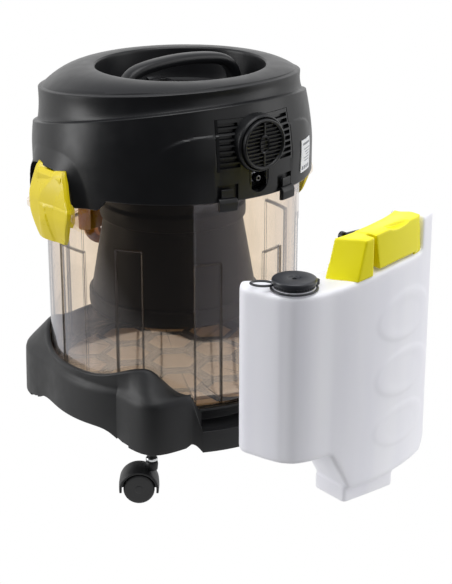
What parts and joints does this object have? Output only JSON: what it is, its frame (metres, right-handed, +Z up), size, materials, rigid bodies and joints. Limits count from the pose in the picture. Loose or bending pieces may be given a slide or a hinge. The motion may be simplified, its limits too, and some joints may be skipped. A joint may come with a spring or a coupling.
{
  "type": "wet dry spray extraction vacuum",
  "caption": "Wheeled wet and dry extraction vacuum with a smoked drum, a black motor head, side latches and a clean-water tank pulled off the rear.",
  "frame": {"origin": "on the floor, under the centre of the whole part's box", "axes": "+Z up, +Y towards the rear, where the water tank pulls off, and +X to the side, so that the inlet faces -Y"},
  "size_m": [0.476, 0.6873, 0.6664],
  "materials": {
    "shell_black": "satin moulded plastic",
    "base_black": "fine-grained moulded plastic",
    "gloss_black": "polished moulded plastic",
    "smoked_clear": "clear smoked plastic",
    "tank_milky": "translucent blow-moulded plastic",
    "handle_yellow": "smooth moulded plastic",
    "latch_amber": "smooth moulded plastic",
    "chrome": "bright plating",
    "rubber": "matte rubber",
    "label_white": "blank plate",
    "float_white": "smooth moulded plastic",
    "motor_alloy": "cast housing"
  },
  "bodies": {
    "base": {"base_chassis": "base_black", "recovery_drum": "smoked_clear", "inlet_bezel": "handle_yellow", "inlet_deflector": "gloss_black", "latch_bracket_left": "smoked_clear", "latch_bracket_right": "smoked_clear"},
    "head": {"head_shell": "shell_black", "head_plate": "shell_black", "rim_gasket": "rubber", "filter_tower": "gloss_black", "vacuum_motor": "motor_alloy", "water_pump": "shell_black", "carry_handle": "shell_black", "switch_plate": "gloss_black", "exhaust_panel": "shell_black", "coupling_pocket": "gloss_black", "coupling_nipple": "chrome", "rating_plate": "label_white", "power_gland": "rubber", "tank_hook_left": "shell_black", "tank_hook_right": "shell_black"},
    "float": {"float_ball": "float_white"},
    "rocker_vacuum": {"rocker_vacuum": "gloss_black"},
    "rocker_pump": {"rocker_pump": "gloss_black"},
    "exhaust_cap": {"exhaust_cap": "shell_black"},
    "latch_left": {"latch_left": "latch_amber"},
    "latch_right": {"latch_right": "latch_amber"},
    "solution_tank": {"solution_tank": "tank_milky", "tank_handle": "handle_yellow", "outlet_coupling": "gloss_black", "neck_ring": "tank_milky", "cap_tether": "gloss_black"},
    "filler_cap": {"filler_cap": "gloss_black"},
    "caster_rear_left": {"caster_hood_rear_left": "base_black", "caster_collar_rear_left": "chrome"},
    "caster_rear_left_wheels": {"caster_wheel_rear_left_a": "rubber", "caster_wheel_rear_left_b": "rubber"},
    "caster_rear_right": {"caster_hood_rear_right": "base_black", "caster_collar_rear_right": "chrome"},
    "caster_rear_right_wheels": {"caster_wheel_rear_right_a": "rubber", "caster_wheel_rear_right_b": "rubber"},
    "caster_front": {"caster_hood_front": "base_black", "caster_collar_front": "chrome"},
    "caster_front_wheels": {"caster_wheel_front_a": "rubber", "caster_wheel_front_b": "rubber"}
  },
  "joints": [
    {"name": "caster_rear_left_swivel", "type": "hinge", "parent": "base", "child": "caster_rear_left", "pos_m": [0.13124, 0.00576, 0.09], "axis": [0, 0, 1], "continuous": true},
    {"name": "caster_rear_left_roll", "type": "hinge", "parent": "caster_rear_left", "child": "caster_rear_left_wheels", "pos_m": [0.14752, -0.00585, 0.0242], "axis": [0.5807, 0.8141, 0], "continuous": true},
    {"name": "caster_rear_right_swivel", "type": "hinge", "parent": "base", "child": "caster_rear_right", "pos_m": [-0.13124, 0.00576, 0.09], "axis": [0, 0, 1], "continuous": true},
    {"name": "caster_rear_right_roll", "type": "hinge", "parent": "caster_rear_right", "child": "caster_rear_right_wheels", "pos_m": [-0.12185, 0.02342, 0.0242], "axis": [-0.8829, 0.4695, 0], "continuous": true},
    {"name": "caster_front_swivel", "type": "hinge", "parent": "base", "child": "caster_front", "pos_m": [0, -0.2925, 0.09], "axis": [0, 0, 1], "continuous": true},
    {"name": "caster_front_roll", "type": "hinge", "parent": "caster_front", "child": "caster_front_wheels", "pos_m": [-0.00939, -0.31016, 0.0242], "axis": [0.8829, -0.4695, 0], "continuous": true},
    {"name": "head_lift", "type": "slide", "parent": "base", "child": "head", "axis": [0, 0, 1], "range_m": [0, 0.2]},
    {"name": "float_rise", "type": "slide", "parent": "head", "child": "float", "axis": [0, 0, 1], "range_m": [0, 0.14]},
    {"name": "vacuum_switch", "type": "hinge", "parent": "head", "child": "rocker_vacuum", "pos_m": [0.022, -0.1845, 0.6043], "axis": [1, 0, 0], "range_deg": [0, 10]},
    {"name": "pump_switch", "type": "hinge", "parent": "head", "child": "rocker_pump", "pos_m": [-0.022, -0.1845, 0.6043], "axis": [1, 0, 0], "range_deg": [0, 10]},
    {"name": "exhaust_cap_turn", "type": "hinge", "parent": "head", "child": "exhaust_cap", "pos_m": [0, 0.11, 0.566], "axis": [0, 1, 0], "range_deg": [0, 90]},
    {"name": "latch_left_turn", "type": "hinge", "parent": "base", "child": "latch_left", "pos_m": [0.22578, -0.10464, 0.459], "axis": [-0.0436, 0.999, 0], "range_deg": [0, 30]},
    {"name": "latch_right_turn", "type": "hinge", "parent": "base", "child": "latch_right", "pos_m": [-0.22578, -0.10464, 0.459], "axis": [-0.0436, -0.999, 0], "range_deg": [0, 30]},
    {"name": "tank_dock", "type": "slide", "parent": "base", "child": "solution_tank", "axis": [0, 0.9762, -0.2169], "range_m": [-0.184, 0]},
    {"name": "filler_cap_lift", "type": "slide", "parent": "solution_tank", "child": "filler_cap", "axis": [0, 0, 1], "range_m": [0, 0.06]}
  ]
}
